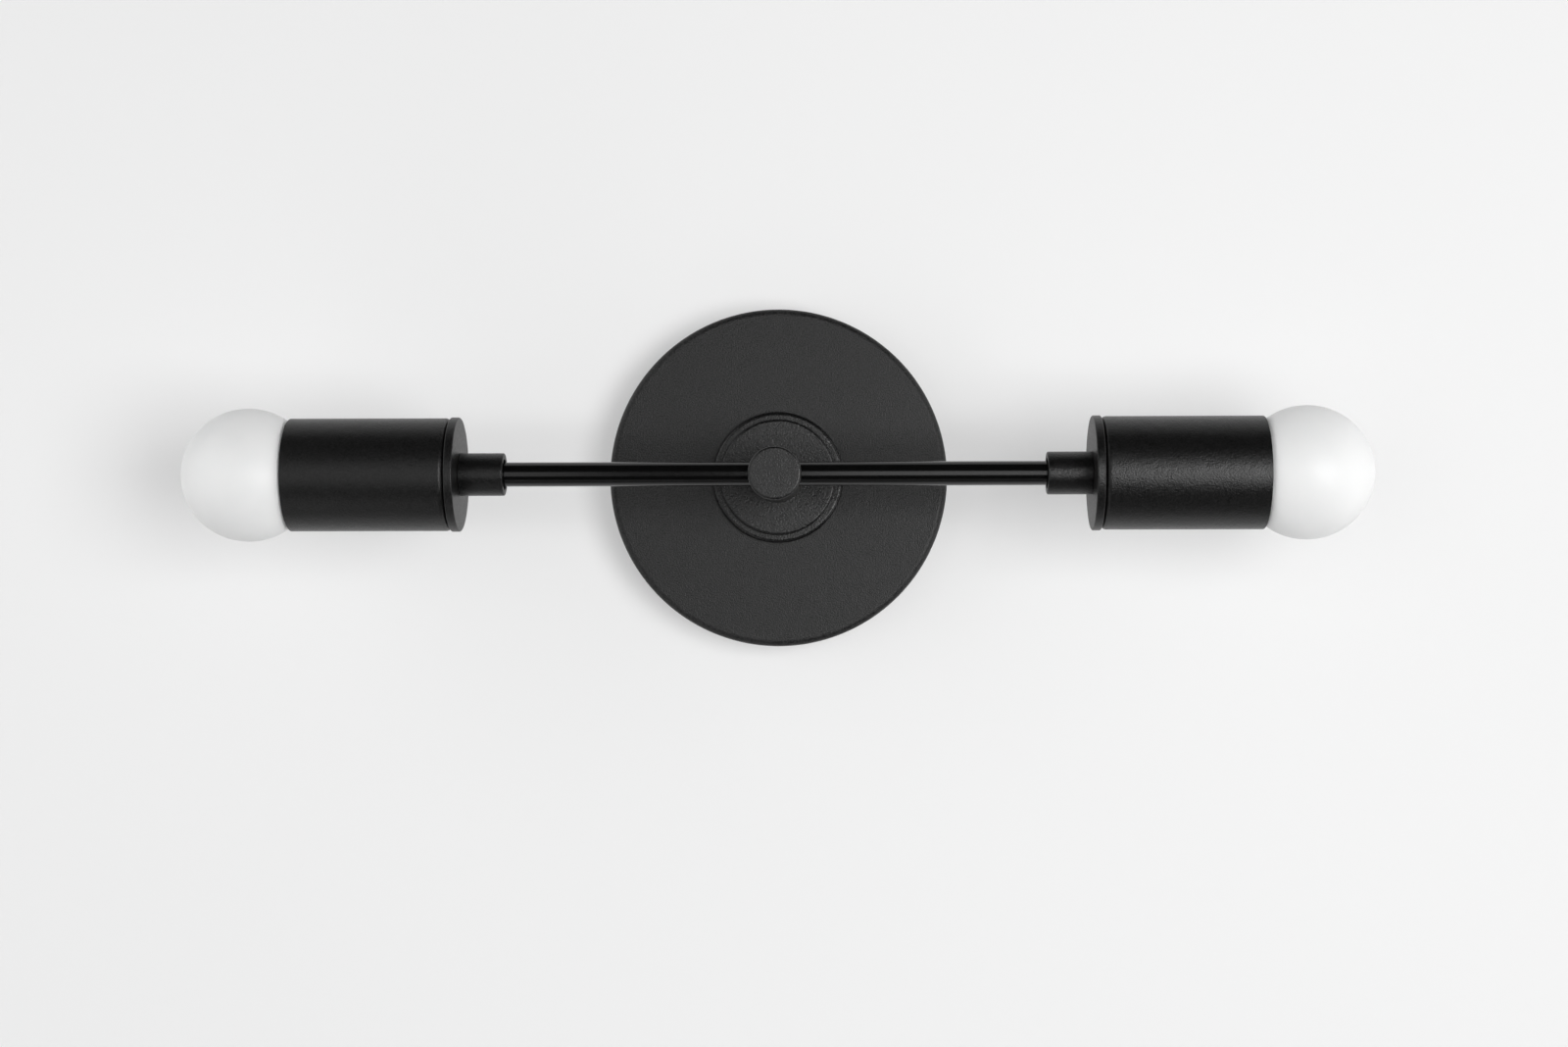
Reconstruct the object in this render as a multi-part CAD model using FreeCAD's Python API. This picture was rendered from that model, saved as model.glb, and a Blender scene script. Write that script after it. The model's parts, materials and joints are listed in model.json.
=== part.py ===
import FreeCAD, Part
import math
import os

from FreeCAD import Vector

# Straight two-light vanity fixture that screws to a junction box in the wall.
# Row frame: origin on the wall plane in the middle of the crossbar, +Z up, +X to the right of
# someone who faces the fixture, and the front looks along -Y. Lengths are in millimetres.
# Pieces are first made lying along +X. There x is the distance out from the wall for the pieces
# in the middle, and the distance from the post's axis for the pieces of an arm.

# Play and cutters
overrun = 2.0                    # how far a cutter runs past what it cuts
fit_gap = 0.05                   # radial play of threads, rivets and crimps
slip_gap = 0.25                  # radial play of plain holes round a lamp pipe
touch_gap = 0.2                  # air left between the bulb and the spring that feeds it

# Backplate, a round pan that covers the junction box
plate_diameter = 139.7
plate_depth = 22.2
plate_wall = 1.2
plate_edge_radius = 2.8

# Two stepped rings between the backplate and the post
upper_ring_diameter = 47.6
ring_step = 3.2                  # how far the lower ring stands out past the upper one
lower_ring_thickness = 3.2
upper_ring_thickness = 3.2
ring_edge_radius = 0.5

# Centre post, a round bar drilled from the back for the wires
bar_out = 73.0                   # wall plane to the axis of both arms
post_diameter = 21.0
post_front = 11.0                # arm axis to the post's front face
post_front_wall = 4.8
post_edge_radius = 0.6

# Lamp pipe: the main nipple behind the post and the short nipple behind each cup
pipe_diameter = 10.2
pipe_bore = 7.0
main_nipple_in_post = 8.5
cup_nipple_in_coupler = 8.0
cup_nipple_past_bracket = 0.7
pipe_end_chamfer = 0.5

# Hexagon nut and toothed washer that lock a lamp pipe
nut_flat_wall = 2.0              # steel between the thread and a flat
nut_thickness = 2.9
nut_chamfer = 0.7
washer_land = 1.25               # steel between the hole and the notches
washer_thickness = 1.0
washer_notch_width = 1.6
washer_notch_depth = 1.9
washer_notch_count = 12

# Crossbar, the strip that screws to the junction box
slot_spacing = 88.9              # the box's two screws
slot_length = 10.0
slot_width = 4.8
crossbar_end = 4.5               # steel past the end of each slot
crossbar_width = 22.0
crossbar_thickness = 2.4
crossbar_corner_radius = 4.0

# Earth connection: screw on the crossbar, ring terminal on the main nipple, wire between them
ground_screw_diameter = 4.6
ground_head_diameter = 10.4
ground_head_height = 2.6
ground_head_radius = 0.9
ground_slot_width = 1.2
ground_slot_depth = 1.2
terminal_ring_width = 2.65
terminal_thickness = 0.8
terminal_tongue_width = 5.0
terminal_sleeve_diameter = 3.4
terminal_sleeve_length = 7.0
terminal_edge_gap = 0.8          # crossbar's edge to the start of the sleeve
ground_wire_rise = 4.0           # straight wire above the sleeve
ground_wire_reach = 22.0         # nipple axis to the wire's leg beside the screw

# Insulated wire, two leads to each lampholder
wire_diameter = 2.0
wire_pair_gap = 0.3
wire_side_gap = 1.2              # between the leads of the two arms in the main nipple
wire_bend_radius = 6.6

# Arms
arm_reach = 106.4                # post axis to the coupler
arm_diameter = 9.525
arm_wall = 1.2
arm_in_coupler = 8.0

# Couplers between arm and cup
coupler_diameter = 16.8
coupler_length = 17.5
coupler_chamfer = 0.6
coupler_mouth_diameter = 12.2
coupler_mouth_depth = 1.8

# Flat disc behind each cup
disc_overhang = 0.3              # how far the disc stands out past the cup
disc_thickness = 3.4
disc_edge_radius = 0.6

# Medium lamp thread, a rounded thread of seven turns to the inch
thread_lead = 3.6286
thread_major_diameter = 26.3
thread_height = 0.8
thread_play = 0.25               # radial play between bulb and screw shell
thread_fade = 1.0                # length in which a thread rises from nothing
sections_per_turn = 12           # control rings of the thread's surface

# Screw shell and contact spring in the lampholder
shell_wall = 0.4
shell_floor = 0.5
shell_floor_hole = 10.4
shell_set_back = 2.0             # holder's front face to the shell's mouth
shell_plain_mouth = 2.4
shell_plain_foot = 2.0
shell_flare = 0.3
spring_height = 4.0
spring_thickness = 0.4
spring_width = 4.6
spring_foot = 3.8                # half length of the spring's foot
spring_tip_back = 1.6            # how far the tip runs past the bulb's axis
spring_lip = 0.6

# Lampholder body
holder_bore_gap = 0.2
holder_wall = 4.7
holder_front_step = 1.5
holder_front_length = 14.0
holder_bore_depth = 30.0
holder_floor = 4.0
holder_recess_depth = 5.0
holder_recess_wall = 5.0
holder_edge_radius = 1.0
rivet_diameter = 2.0
rivet_head_diameter = 4.0
rivet_back_head = 0.8
rivet_front_head = 0.5
neutral_rivet_offset = 7.5

# Bracket that carries the lampholder on its nipple
bracket_thickness = 1.2
bracket_land = 0.85              # steel beside the nipple's hole
bracket_height = 8.6             # nut to the back of the lampholder
bracket_leg_gap = 25.0
bracket_screw_diameter = 3.0
bracket_screw_depth = 6.0
bracket_head_diameter = 5.0
bracket_head_height = 1.6
bracket_head_radius = 0.6

# Cups
holder_cup_gap = 2.0
cup_wall = 1.2
cup_corner_radius = 2.2
cup_past_holder = 10.8           # holder's front face to the cup's rim
cup_rim_radius = 0.2

# Bulbs: frosted globe on a medium screw base
globe_diameter = 52.4
globe_mouth_gap = 0.8            # globe to the cup's rim
glass_wall = 0.8
neck_inset = 0.6                 # how far the glass neck lies inside the thread's outside
neck_fillet = 4.0
neck_in_base = 2.6
base_height = 26.0               # contact to the base's top edge
base_wall = 0.3
base_collar = 3.0
base_collar_inset = 0.15         # collar inside the thread's outside
base_foot = 1.2                  # tapered foot of the base
base_foot_inset = 1.35
contact_diameter = 9.0
contact_height = 0.9
contact_edge_radius = 0.5
insulator_height = 2.5
insulator_seat = 1.6
stem_wall = 1.2
stem_flare_height = 6.0
stem_diameter = 6.0
stem_length = 21.0
leadin_diameter = 0.7
leadin_spread = 20.0
leadin_spacing = 3.4
filament_diameter = 1.0
filament_bow = 5.0

# Places worked out along the wall's axis, as distances out from the wall
plate_face = plate_depth
lower_ring_face = plate_face + lower_ring_thickness
upper_ring_face = lower_ring_face + upper_ring_thickness
terminal_face = crossbar_thickness + terminal_thickness

# Places and sizes worked out along an arm, from the post's axis
pipe_radius = pipe_diameter / 2
pipe_hole = pipe_radius + slip_gap
pipe_thread_hole = pipe_radius + fit_gap
nut_across_flats = 2 * (pipe_thread_hole + nut_flat_wall)
washer_radius = pipe_hole + washer_land + washer_notch_depth
terminal_radius = pipe_hole + terminal_ring_width
bracket_width = 2 * (pipe_thread_hole + bracket_land)
arm_radius = arm_diameter / 2
wire_radius = wire_diameter / 2
wire_height = (wire_diameter + wire_pair_gap) / 2
wire_side = (wire_diameter + wire_side_gap) / 2
post_bore_radius = pipe_thread_hole
disc_back = arm_reach + coupler_length
cup_back = disc_back + disc_thickness
cup_floor = cup_back + cup_wall
nut_back = cup_floor + washer_thickness
bracket_back = nut_back + nut_thickness
bracket_front = bracket_back + bracket_thickness
cup_nipple_end = bracket_front + cup_nipple_past_bracket
holder_back = bracket_back + bracket_height
floor_back = holder_back + holder_recess_depth
floor_front = floor_back + holder_floor
holder_front = floor_front + holder_bore_depth
cup_rim = holder_front + cup_past_holder
contact_face = floor_front + spring_height + touch_gap

# Radii worked out from the lamp thread outwards
thread_swing = thread_height / 2
base_minor = thread_major_diameter / 2 - thread_height
shell_major = thread_major_diameter / 2 + thread_play
holder_bore = shell_major + shell_wall + holder_bore_gap + shell_flare
holder_radius = holder_bore + holder_wall
holder_recess = holder_radius - holder_recess_wall
cup_bore = holder_radius + holder_cup_gap
cup_radius = cup_bore + cup_wall
disc_radius = cup_radius + disc_overhang

# The globe stands as deep in the cup as its size allows
globe_radius = globe_diameter / 2
globe_at_rim = cup_bore - globe_mouth_gap
globe_centre = cup_rim + math.sqrt(globe_radius ** 2 - globe_at_rim ** 2)
neck_radius = thread_major_diameter / 2 - neck_inset
base_top = contact_face + base_height
base_start = contact_face + contact_height + insulator_height


def polar(radius, angle):
    return radius * math.cos(angle), radius * math.sin(angle)


def rounded_wire(corners):
    """Closed outline in the XY plane. Each corner is (x, y) or (x, y, rounding)."""
    points = [Vector(c[0], c[1], 0) for c in corners]
    roundings = [c[2] if len(c) == 3 else 0 for c in corners]
    starts, ends, mids = [], [], []
    for i, point in enumerate(points):
        back = (points[i - 1] - point).normalize()
        ahead = (points[(i + 1) % len(points)] - point).normalize()
        half = back.getAngle(ahead) / 2
        if roundings[i] == 0:
            starts.append(point)
            ends.append(point)
            mids.append(None)
            continue
        run = roundings[i] / math.tan(half)
        towards = (back + ahead).normalize()
        centre = point + towards * (roundings[i] / math.sin(half))
        starts.append(point + back * run)
        ends.append(point + ahead * run)
        mids.append(centre - towards * roundings[i])
    edges = []
    for i in range(len(points)):
        if mids[i] is not None:
            edges.append(Part.Arc(starts[i], mids[i], ends[i]).toShape())
        following = starts[(i + 1) % len(points)]
        if (following - ends[i]).Length > Part.Precision.confusion():
            edges.append(Part.LineSegment(ends[i], following).toShape())
    return Part.Wire(edges)


def turned(corners):
    """Solid turned about the X axis from (x, radius, rounding) corners."""
    return turned_wire(rounded_wire(corners))


def turned_wire(wire):
    return Part.Face(wire).revolve(Vector(0, 0, 0), Vector(1, 0, 0), 360)


def rod(radius, start, end, y=0, z=0):
    """Round bar parallel to X."""
    return Part.makeCylinder(radius, end - start, Vector(start, y, z), Vector(1, 0, 0))


def out_from_wall(shape):
    """Turns a piece lying along +X so that its x becomes the distance out from the wall."""
    placed = shape.copy()
    placed.rotate(Vector(0, 0, 0), Vector(0, 0, 1), -90)
    return placed


def on_arm(shape, side):
    """Puts a piece lying along +X on the right arm, or turned half round on the left one."""
    placed = shape.copy()
    if side < 0:
        placed.rotate(Vector(0, 0, 0), Vector(0, 0, 1), 180)
    placed.translate(Vector(0, -bar_out, 0))
    return placed


def pipe(start, end):
    """Lamp pipe with chamfered ends and an open bore."""
    bore = pipe_bore / 2
    edge = pipe_radius - pipe_end_chamfer
    return turned([(start, bore), (start, edge), (start + pipe_end_chamfer, pipe_radius),
                   (end - pipe_end_chamfer, pipe_radius), (end, edge), (end, bore)])


def hexagon_nut(start):
    corner = nut_across_flats / math.sqrt(3)
    points = [Vector(start, *polar(corner, math.radians(60 * i))) for i in range(7)]
    prism = Part.Face(Part.makePolygon(points)).extrude(Vector(nut_thickness, 0, 0))
    end = start + nut_thickness
    edge = corner - nut_chamfer
    rounded = turned([(start, 0), (start, edge), (start + nut_chamfer / 2, corner),
                      (end - nut_chamfer / 2, corner), (end, edge), (end, 0)])
    return prism.common(rounded).cut(rod(pipe_thread_hole, start - overrun, end + overrun))


def toothed_washer(start):
    end = start + washer_thickness
    washer = rod(washer_radius, start, end).cut(rod(pipe_hole, start - overrun, end + overrun))
    notch = Part.makeBox(washer_thickness + 2 * overrun, washer_notch_depth + overrun,
                         washer_notch_width,
                         Vector(start - overrun, washer_radius - washer_notch_depth,
                                -washer_notch_width / 2))
    for i in range(washer_notch_count):
        cutter = notch.copy()
        cutter.rotate(Vector(0, 0, 0), Vector(1, 0, 0), 360 * i / washer_notch_count)
        washer = washer.cut(cutter)
    return washer


def bent_strip(path, thickness, width):
    """Strip of even thickness along (x, z) points, on the right hand of its path."""
    normals = []
    for (x0, z0), (x1, z1) in zip(path, path[1:]):
        length = math.hypot(x1 - x0, z1 - z0)
        normals.append(((z1 - z0) / length, -(x1 - x0) / length))
    offsets = []
    for i, (x, z) in enumerate(path):
        before = normals[max(i - 1, 0)]
        after = normals[min(i, len(normals) - 1)]
        spread = 1 + before[0] * after[0] + before[1] * after[1]
        offsets.append((x + thickness * (before[0] + after[0]) / spread,
                        z + thickness * (before[1] + after[1]) / spread))
    outline = [Vector(x, -width / 2, z) for x, z in path + offsets[::-1]]
    face = Part.Face(Part.makePolygon(outline + outline[:1]))
    return face.extrude(Vector(0, width, 0))


def swept_wire(edges, radius):
    """Round wire along straight runs joined by tangent arcs, made with its volume checked."""
    path = Part.Wire(edges)
    start = edges[0].Vertexes[0].Point
    circle = Part.Circle(start, edges[0].tangentAt(edges[0].FirstParameter), radius)
    tube = path.makePipeShell([Part.Wire(circle.toShape())], True, False)
    expected = math.pi * radius ** 2 * path.Length
    print("wire length %.1f, volume off by %.4f" % (path.Length, tube.Volume / expected - 1))
    return tube


# Wall side

def crossbar():
    length = slot_spacing + slot_length + 2 * crossbar_end
    strip = Part.makeBox(crossbar_thickness, length, crossbar_width,
                         Vector(0, -length / 2, -crossbar_width / 2))
    strip = strip.makeFillet(crossbar_corner_radius,
                             [e for e in strip.Edges
                              if abs(e.tangentAt(e.FirstParameter).x) > 0.5])
    far = crossbar_thickness + overrun
    strip = strip.cut(rod(pipe_thread_hole, -overrun, far))
    strip = strip.cut(rod(ground_screw_diameter / 2 + fit_gap, -overrun, far, ground_screw_place()))
    slot_radius = slot_width / 2
    half = slot_length / 2 - slot_radius
    for side in (-1, 1):
        middle = side * slot_spacing / 2
        ends = [rod(slot_radius, -overrun, far, middle + e * half) for e in (-1, 1)]
        waist = Part.makeBox(far + overrun, 2 * half, slot_width,
                             Vector(-overrun, middle - half, -slot_radius))
        strip = strip.cut(waist.fuse(ends))
    return out_from_wall(strip)


def ground_screw_place():
    """The screw stands beside the wire's leg, so that the wire hooks round its shank."""
    return ground_wire_reach - wire_radius - fit_gap - ground_screw_diameter / 2


def ground_screw():
    seat = crossbar_thickness + wire_diameter
    top = seat + ground_head_height
    head = ground_head_diameter / 2
    shank = ground_screw_diameter / 2
    screw = turned([(0, 0), (0, shank), (seat, shank), (seat, head), (top, head, ground_head_radius),
                    (top, 0)])
    slot = Part.makeBox(ground_slot_depth + overrun, ground_head_diameter + overrun,
                        ground_slot_width,
                        Vector(top - ground_slot_depth, -head - overrun / 2,
                               -ground_slot_width / 2))
    screw = screw.cut(slot)
    screw.translate(Vector(0, ground_screw_place(), 0))
    return out_from_wall(screw)


def sleeve_start():
    return crossbar_width / 2 + terminal_edge_gap


def ring_terminal():
    back = crossbar_thickness
    ring = rod(terminal_radius, back, terminal_face)
    tongue = Part.makeBox(terminal_thickness, terminal_tongue_width,
                          sleeve_start() + terminal_sleeve_length / 2,
                          Vector(back, -terminal_tongue_width / 2, 0))
    middle = crossbar_thickness + wire_radius
    top = sleeve_start() + terminal_sleeve_length
    sleeve = Part.makeCylinder(terminal_sleeve_diameter / 2, terminal_sleeve_length,
                               Vector(middle, 0, sleeve_start()), Vector(0, 0, 1))
    bore = Part.makeCylinder(wire_radius + fit_gap, terminal_sleeve_length + 2 * overrun,
                             Vector(middle, 0, sleeve_start()), Vector(0, 0, 1))
    hole = rod(pipe_hole, back - overrun, terminal_face + overrun)
    trimmed_tongue = tongue.cut(Part.makeBox(overrun, 2 * terminal_radius, top,
                                             Vector(terminal_face, -terminal_radius,
                                                    sleeve_start())))
    return out_from_wall(ring.fuse([trimmed_tongue, sleeve]).cut(hole).cut(bore))


def ground_wire():
    """Up out of the sleeve, over in a half circle and down into a hook round the screw."""
    y = crossbar_thickness + wire_radius
    foot = sleeve_start() + overrun
    top = sleeve_start() + terminal_sleeve_length + ground_wire_rise
    bend = ground_wire_reach / 2
    screw = ground_screw_place()
    hook = ground_wire_reach - screw
    edges = [
        Part.LineSegment(Vector(0, -y, foot), Vector(0, -y, top)).toShape(),
        Part.Arc(Vector(0, -y, top), Vector(bend, -y, top + bend),
                 Vector(ground_wire_reach, -y, top)).toShape(),
        Part.LineSegment(Vector(ground_wire_reach, -y, top),
                         Vector(ground_wire_reach, -y, 0)).toShape(),
        Part.Arc(Vector(ground_wire_reach, -y, 0), Vector(screw, -y, -hook),
                 Vector(screw - hook, -y, 0)).toShape(),
    ]
    return swept_wire(edges, wire_radius)


def main_nipple():
    return out_from_wall(pipe(0, upper_ring_face + main_nipple_in_post))


def backplate():
    radius = plate_diameter / 2
    inner_edge = plate_edge_radius - plate_wall
    return out_from_wall(turned([
        (0, radius), (plate_face, radius, plate_edge_radius), (plate_face, pipe_hole),
        (plate_face - plate_wall, pipe_hole),
        (plate_face - plate_wall, radius - plate_wall, inner_edge), (0, radius - plate_wall)]))


def stepped_ring(radius, back, face):
    return out_from_wall(turned([(back, pipe_hole), (back, radius),
                                 (face, radius, ring_edge_radius), (face, pipe_hole)]))


def centre_post():
    radius = post_diameter / 2
    front = bar_out + post_front
    bore_end = front - post_front_wall
    post = turned([(upper_ring_face, post_bore_radius), (upper_ring_face, radius),
                   (front, radius, post_edge_radius), (front, 0), (bore_end, 0),
                   (bore_end, post_bore_radius)])
    arm_hole = Part.makeCylinder(arm_radius + fit_gap, post_diameter + 2 * overrun,
                                 Vector(bar_out, -radius - overrun, 0), Vector(0, 1, 0))
    return out_from_wall(post.cut(arm_hole))


# Arm pieces, lying along +X from the post's axis

def arm():
    inner = arm_radius - arm_wall
    end = arm_reach + arm_in_coupler
    return turned([(post_bore_radius, inner), (post_bore_radius, arm_radius), (end, arm_radius),
                   (end, inner)])


def coupler():
    radius = coupler_diameter / 2
    mouth = coupler_mouth_diameter / 2
    arm_hole = arm_radius + fit_gap
    arm_end = arm_reach + arm_in_coupler
    pipe_start = disc_back - cup_nipple_in_coupler
    middle = (arm_end + pipe_start) / 2
    floor = arm_reach + coupler_mouth_depth
    return turned([
        (arm_reach, mouth), (arm_reach, radius - coupler_chamfer),
        (arm_reach + coupler_chamfer, radius), (disc_back - coupler_chamfer / 2, radius),
        (disc_back, radius - coupler_chamfer / 2), (disc_back, pipe_thread_hole),
        (middle, pipe_thread_hole), (middle, arm_hole), (floor, arm_hole),
        (floor, mouth)])


def cup_disc():
    return turned([(disc_back, pipe_hole), (disc_back, disc_radius, disc_edge_radius),
                   (cup_back, disc_radius, disc_edge_radius), (cup_back, pipe_hole)])


def socket_cup():
    return turned([
        (cup_back, pipe_hole), (cup_back, cup_radius, cup_corner_radius),
        (cup_rim, cup_radius, cup_rim_radius), (cup_rim, cup_bore, cup_rim_radius),
        (cup_floor, cup_bore, cup_corner_radius - cup_wall), (cup_floor, pipe_hole)])


def cup_nipple():
    return pipe(disc_back - cup_nipple_in_coupler, cup_nipple_end)


def bracket_foot_radius():
    return holder_radius - holder_recess_wall / 2


def holder_bracket():
    leg = bracket_leg_gap / 2
    foot = holder_radius
    path = [(holder_back, foot), (holder_back, leg), (bracket_front, leg), (bracket_front, -leg),
            (holder_back, -leg), (holder_back, -foot)]
    bracket = bent_strip(path, bracket_thickness, bracket_width)
    bracket = bracket.cut(rod(pipe_thread_hole, bracket_back - overrun, bracket_front + overrun))
    for side in (-1, 1):
        bracket = bracket.cut(rod(bracket_screw_diameter / 2 + fit_gap,
                                  holder_back - bracket_thickness - overrun,
                                  holder_back + overrun, 0, side * bracket_foot_radius()))
    return bracket.common(rod(holder_radius, bracket_back - overrun, holder_back + overrun))


def bracket_screws():
    seat = holder_back - bracket_thickness
    top = seat - bracket_head_height
    head = bracket_head_diameter / 2
    shank = bracket_screw_diameter / 2
    screw = turned([(top, 0), (top, head, bracket_head_radius), (seat, head), (seat, shank),
                    (holder_back + bracket_screw_depth, shank),
                    (holder_back + bracket_screw_depth, 0)])
    pair = []
    for side in (-1, 1):
        placed = screw.copy()
        placed.translate(Vector(0, 0, side * bracket_foot_radius()))
        pair.append(placed)
    return Part.makeCompound(pair)


def lampholder_body():
    step = holder_front - holder_front_length
    front = holder_radius - holder_front_step
    body = turned([
        (holder_back, holder_recess), (holder_back, holder_radius, holder_edge_radius),
        (step, holder_radius, holder_edge_radius), (step, front),
        (holder_front, front, holder_edge_radius), (holder_front, holder_bore),
        (floor_front, holder_bore), (floor_front, 0), (floor_back, 0),
        (floor_back, holder_recess)])
    for side in (-1, 1):
        body = body.cut(rod(bracket_screw_diameter / 2 + fit_gap, holder_back - overrun,
                            holder_back + bracket_screw_depth, 0, side * bracket_foot_radius()))
    for height in (0, -neutral_rivet_offset):
        body = body.cut(rod(rivet_diameter / 2 + fit_gap, floor_back - overrun,
                            floor_front + overrun, 0, height))
    return body


def eased(x, start, length):
    """Share that rises smoothly from 0 at start to 1 at start + length."""
    run = min(max((x - start) / length, 0), 1)
    return (1 - math.cos(math.pi * run)) / 2


def faded_thread(x, first, last):
    """Share of the full thread at x: 0 outside first..last, 1 where the thread is full."""
    return eased(x, first, thread_fade) * eased(-x, -last, thread_fade)


def thread_face(radius_at, share_at, start, end):
    """Side of a round thread: a circle whose centre turns round the axis once for each lead.

    The circle at x has radius radius_at(x), and its centre stands off the axis by half the
    thread's height times share_at(x), at the angle 2 pi x / lead. The circles are the control
    rings of a cubic surface, each at the mean of the three knots that it depends on. Smoothing
    draws a turning centre in, so it is set out further by the same share.
    """
    spans = math.ceil((end - start) / thread_lead * sections_per_turn)
    step = (end - start) / spans
    knots = [start + step * i for i in range(spans + 1)]
    every_knot = [start] * 3 + knots + [end] * 3
    drawn_in_share = (2 + math.cos(2 * math.pi * step / thread_lead)) / 3
    square = [(1, 0), (1, 1), (0, 1), (-1, 1), (-1, 0), (-1, -1), (0, -1), (1, -1), (1, 0)]
    weight_shares = [1, math.sqrt(0.5)] * 4 + [1]
    poles = []
    for i in range(spans + 3):
        x = sum(every_knot[i + 1:i + 4]) / 3
        radius = radius_at(x)
        off_y, off_z = polar(thread_swing * share_at(x) / drawn_in_share,
                             2 * math.pi * x / thread_lead)
        poles.append([Vector(x, off_y + radius * y, off_z + radius * z) for y, z in square])
    surface = Part.BSplineSurface()
    surface.buildFromPolesMultsKnots(poles, [4] + [1] * (spans - 1) + [4], [3, 2, 2, 2, 3],
                                     knots, [0, 1, 2, 3, 4], False, False, 3, 2,
                                     [weight_shares] * len(poles))
    return surface.toShape()


def disc_face(x, radius):
    return Part.Face(Part.Wire(Part.Circle(Vector(x, 0, 0), Vector(1, 0, 0), radius).toShape()))


def ring_face(x, radius, hole):
    return disc_face(x, radius).cut(disc_face(x, hole)).Faces[0]


def sewn_solid(faces):
    shell = Part.Shell(faces)
    shell.sewShape()
    solid = Part.Solid(shell)
    if solid.Volume < 0:
        solid.reverse()
    return solid


def screw_shell():
    mouth = holder_front - shell_set_back
    first = floor_front + shell_plain_foot
    last = mouth - shell_plain_mouth
    floor_top = floor_front + shell_floor

    def share(x):
        return faded_thread(x, first, last)

    def inside(x):
        return shell_major - thread_swing * share(x) + shell_flare * eased(x, last, mouth - last)

    def outside(x):
        return inside(x) + shell_wall

    shell = sewn_solid([thread_face(outside, share, floor_front, mouth),
                        thread_face(inside, share, floor_top, mouth),
                        ring_face(mouth, outside(mouth), inside(mouth)),
                        disc_face(floor_front, outside(floor_front)),
                        disc_face(floor_top, inside(floor_top))])
    shell = shell.cut(rod(shell_floor_hole / 2, floor_front - overrun, floor_front + overrun))
    return shell.cut(rod(rivet_diameter / 2 + fit_gap, floor_front - overrun,
                         floor_front + overrun, 0, -neutral_rivet_offset))


def contact_spring():
    """Foot under the rivet, one fold, and a tongue that rises back over the axis."""
    top = floor_front + spring_height
    low = floor_front + spring_thickness
    path = [(low, -spring_foot), (low, spring_foot), (top, -spring_tip_back),
            (top - spring_lip, -spring_tip_back - spring_lip)]
    foot = Part.makeBox(spring_thickness, spring_width, 2 * spring_foot,
                        Vector(floor_front, -spring_width / 2, -spring_foot))
    tongue = bent_strip(path[1:], spring_thickness, spring_width)
    hole = rod(rivet_diameter / 2 + fit_gap, floor_front - overrun, low + rivet_front_head)
    return foot.fuse(tongue).cut(hole)


def rivet(back, front, height):
    shank = rivet_diameter / 2
    head = rivet_head_diameter / 2
    piece = turned([(back - rivet_back_head, 0), (back - rivet_back_head, head), (back, head),
                    (back, shank), (front, shank), (front, head), (front + rivet_front_head, head),
                    (front + rivet_front_head, 0)])
    piece.translate(Vector(0, 0, height))
    return piece


def holder_rivets():
    """One through the spring's foot on the axis, and one through the screw shell's floor."""
    return Part.makeCompound([rivet(floor_back, floor_front + spring_thickness, 0),
                              rivet(floor_back, floor_front + shell_floor,
                                    -neutral_rivet_offset)])


def lead_edges(side, height):
    """From the back of the main nipple to the arm, then out to the end of the cup's nipple."""
    turn = wire_side + wire_bend_radius
    lag = wire_bend_radius * (1 - math.sqrt(0.5))
    y = -bar_out
    edges = [
        Part.LineSegment(Vector(side * wire_side, 0, height),
                         Vector(side * wire_side, y + wire_bend_radius, height)).toShape(),
        Part.Arc(Vector(side * wire_side, y + wire_bend_radius, height),
                 Vector(side * (wire_side + lag), y + lag, height),
                 Vector(side * turn, y, height)).toShape(),
        Part.LineSegment(Vector(side * turn, y, height),
                         Vector(side * cup_nipple_end, y, height)).toShape(),
    ]
    return edges


def hot_wire(side):
    """Straight on to the rivet on the holder's axis."""
    edges = lead_edges(side, wire_height)
    end = floor_back - rivet_back_head
    edges.append(Part.LineSegment(Vector(side * cup_nipple_end, -bar_out, wire_height),
                                  Vector(side * end, -bar_out, wire_height)).toShape())
    return swept_wire(edges, wire_radius)


def neutral_wire(side):
    """Out to the rivet below the axis, in two equal arcs."""
    edges = lead_edges(side, -wire_height)
    run = floor_back - rivet_back_head - cup_nipple_end
    drop = neutral_rivet_offset - wire_height
    turn = 2 * math.atan(drop / run)
    bend = run / (2 * math.sin(turn))
    x0 = cup_nipple_end
    z0 = -wire_height

    def place(x, z):
        return Vector(side * x, -bar_out, z)

    reach, half_x = polar(bend, turn / 2)
    half_z = bend - reach
    middle = place(x0 + run / 2, z0 - drop / 2)
    edges.append(Part.Arc(place(x0, z0), place(x0 + half_x, z0 - half_z), middle).toShape())
    edges.append(Part.Arc(middle, place(x0 + run - half_x, z0 - drop + half_z),
                          place(x0 + run, z0 - drop)).toShape())
    return swept_wire(edges, wire_radius)


# Bulb pieces, lying along +X from the post's axis

def bulb_contact():
    radius = contact_diameter / 2
    end = contact_face + contact_height
    return turned([(contact_face, 0), (contact_face, radius, contact_edge_radius), (end, radius),
                   (end, 0)])


def bulb_insulator():
    start = contact_face + contact_height
    wide = base_minor - base_foot_inset - base_wall - fit_gap
    narrow = contact_diameter / 2 + contact_height
    return turned([(start, 0), (start, narrow), (base_start, wide),
                   (base_start + insulator_seat, wide), (base_start + insulator_seat, 0)])


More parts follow.
